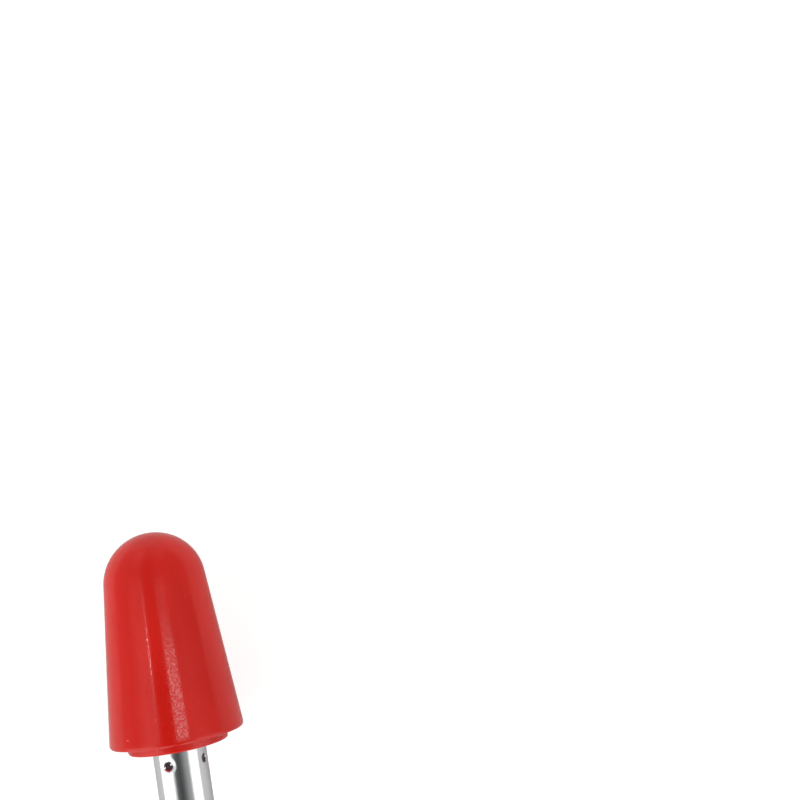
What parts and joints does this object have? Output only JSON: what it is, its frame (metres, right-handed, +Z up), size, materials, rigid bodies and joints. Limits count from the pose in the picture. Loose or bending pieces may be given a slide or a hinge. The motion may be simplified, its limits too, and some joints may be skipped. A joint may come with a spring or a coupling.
{
  "type": "white cane",
  "caption": "Telescopic white cane with nested tube sections held by twist locks, a red rolling tip on a chromed lower tube, and a black rubber grip with a flat side.",
  "frame": {"origin": "on the floor under the middle of the cane, which lies on its side pulled out to full length", "axes": "+Y along the cane from the handle to the nose of the tip, +Z up, +X to the right of someone who looks along +Y"},
  "size_m": [0.0258, 1.22, 0.0242],
  "materials": {
    "red_nylon": "glossy moulded nylon, fine scuffs",
    "chromed_steel": "bright chrome plate",
    "white_tube": "white powder coat on aluminium tube",
    "black_nylon": "fine spark-eroded black nylon",
    "grip_rubber": "matt moulded rubber",
    "turned_aluminium": "turned, with fine tool marks",
    "lock_brass": "turned brass",
    "natural_nylon": "natural moulded nylon",
    "bearing_steel": "ground and polished steel"
  },
  "bodies": {
    "lower_section": {"lower_tube": "chromed_steel", "lock_plug_1": "turned_aluminium", "lock_clip_1": "bearing_steel", "tip_shaft": "turned_aluminium", "tip_dust_collar": "red_nylon", "bearing_inner_race": "bearing_steel", "tip_washer": "bearing_steel", "tip_screw": "bearing_steel"},
    "rolling_tip": {"tip_shell": "red_nylon", "bearing_outer_race": "bearing_steel"},
    "ball_set": {"bearing_balls": "bearing_steel", "bearing_cage": "natural_nylon"},
    "lock_1": {"lock_sleeve_1": "natural_nylon"},
    "lock_nut_body_1": {"lock_nut_1": "lock_brass"},
    "second_section": {"second_tube": "white_tube", "mouth_collar_1": "black_nylon", "lock_plug_2": "turned_aluminium", "lock_clip_2": "bearing_steel"},
    "lock_2": {"lock_sleeve_2": "natural_nylon"},
    "lock_nut_body_2": {"lock_nut_2": "lock_brass"},
    "third_section": {"third_tube": "white_tube", "mouth_collar_2": "black_nylon", "lock_plug_3": "turned_aluminium", "lock_clip_3": "bearing_steel"},
    "lock_3": {"lock_sleeve_3": "natural_nylon"},
    "lock_nut_body_3": {"lock_nut_3": "lock_brass"},
    "fourth_section": {"fourth_tube": "white_tube", "mouth_collar_3": "black_nylon", "lock_plug_4": "turned_aluminium", "lock_clip_4": "bearing_steel"},
    "lock_4": {"lock_sleeve_4": "natural_nylon"},
    "lock_nut_body_4": {"lock_nut_4": "lock_brass"},
    "handle": {"handle_tube": "white_tube", "mouth_collar_4": "black_nylon", "grip_ferrule": "chromed_steel", "grip": "grip_rubber", "end_plug": "turned_aluminium", "butt_cap": "black_nylon", "swivel_washer": "natural_nylon"},
    "lanyard_swivel": {"lanyard_eye": "chromed_steel", "swivel_clip": "bearing_steel"}
  },
  "joints": [
    {"name": "tip_roll", "type": "hinge", "parent": "lower_section", "child": "rolling_tip", "pos_m": [0, 0.5945, 0.0113], "axis": [0, 1, 0], "continuous": true},
    {"name": "ball_orbit", "type": "hinge", "parent": "lower_section", "child": "ball_set", "pos_m": [0, 0.5945, 0.0113], "axis": [0, 1, 0], "continuous": true},
    {"name": "lock_1_twist", "type": "hinge", "parent": "lower_section", "child": "lock_1", "pos_m": [0, 0.328, 0.0113], "axis": [0, 1, 0], "range_deg": [0, 180]},
    {"name": "lock_1_nut_travel", "type": "slide", "parent": "lock_1", "child": "lock_nut_body_1", "axis": [0, -1, 0], "range_m": [0, 0.0005]},
    {"name": "section_1_2_slide", "type": "slide", "parent": "lock_1", "child": "second_section", "axis": [0, 1, 0], "range_m": [0, 0.191]},
    {"name": "lock_2_twist", "type": "hinge", "parent": "second_section", "child": "lock_2", "pos_m": [0, 0.103, 0.0113], "axis": [0, 1, 0], "range_deg": [0, 180]},
    {"name": "lock_2_nut_travel", "type": "slide", "parent": "lock_2", "child": "lock_nut_body_2", "axis": [0, -1, 0], "range_m": [0, 0.0005]},
    {"name": "section_2_3_slide", "type": "slide", "parent": "lock_2", "child": "third_section", "axis": [0, 1, 0], "range_m": [0, 0.191]},
    {"name": "lock_3_twist", "type": "hinge", "parent": "third_section", "child": "lock_3", "pos_m": [0, -0.122, 0.0113], "axis": [0, 1, 0], "range_deg": [0, 180]},
    {"name": "lock_3_nut_travel", "type": "slide", "parent": "lock_3", "child": "lock_nut_body_3", "axis": [0, -1, 0], "range_m": [0, 0.0005]},
    {"name": "section_3_4_slide", "type": "slide", "parent": "lock_3", "child": "fourth_section", "axis": [0, 1, 0], "range_m": [0, 0.191]},
    {"name": "lock_4_twist", "type": "hinge", "parent": "fourth_section", "child": "lock_4", "pos_m": [0, -0.347, 0.0113], "axis": [0, 1, 0], "range_deg": [0, 180]},
    {"name": "lock_4_nut_travel", "type": "slide", "parent": "lock_4", "child": "lock_nut_body_4", "axis": [0, -1, 0], "range_m": [0, 0.0005]},
    {"name": "section_4_5_slide", "type": "slide", "parent": "lock_4", "child": "handle", "axis": [0, 1, 0], "range_m": [0, 0.191]},
    {"name": "lanyard_swivel_turn", "type": "hinge", "parent": "handle", "child": "lanyard_swivel", "pos_m": [0, -0.595, 0.0113], "axis": [0, 1, 0], "continuous": true}
  ],
  "couplings": [
    {"joint": "ball_orbit", "follows": "tip_roll", "ratio": 0.6095},
    {"joint": "lock_1_nut_travel", "follows": "lock_1_twist", "m_per_rad": 0.00012732},
    {"joint": "lock_2_nut_travel", "follows": "lock_2_twist", "m_per_rad": 0.00012732},
    {"joint": "lock_3_nut_travel", "follows": "lock_3_twist", "m_per_rad": 0.00012732},
    {"joint": "lock_4_nut_travel", "follows": "lock_4_twist", "m_per_rad": 0.00012732}
  ]
}
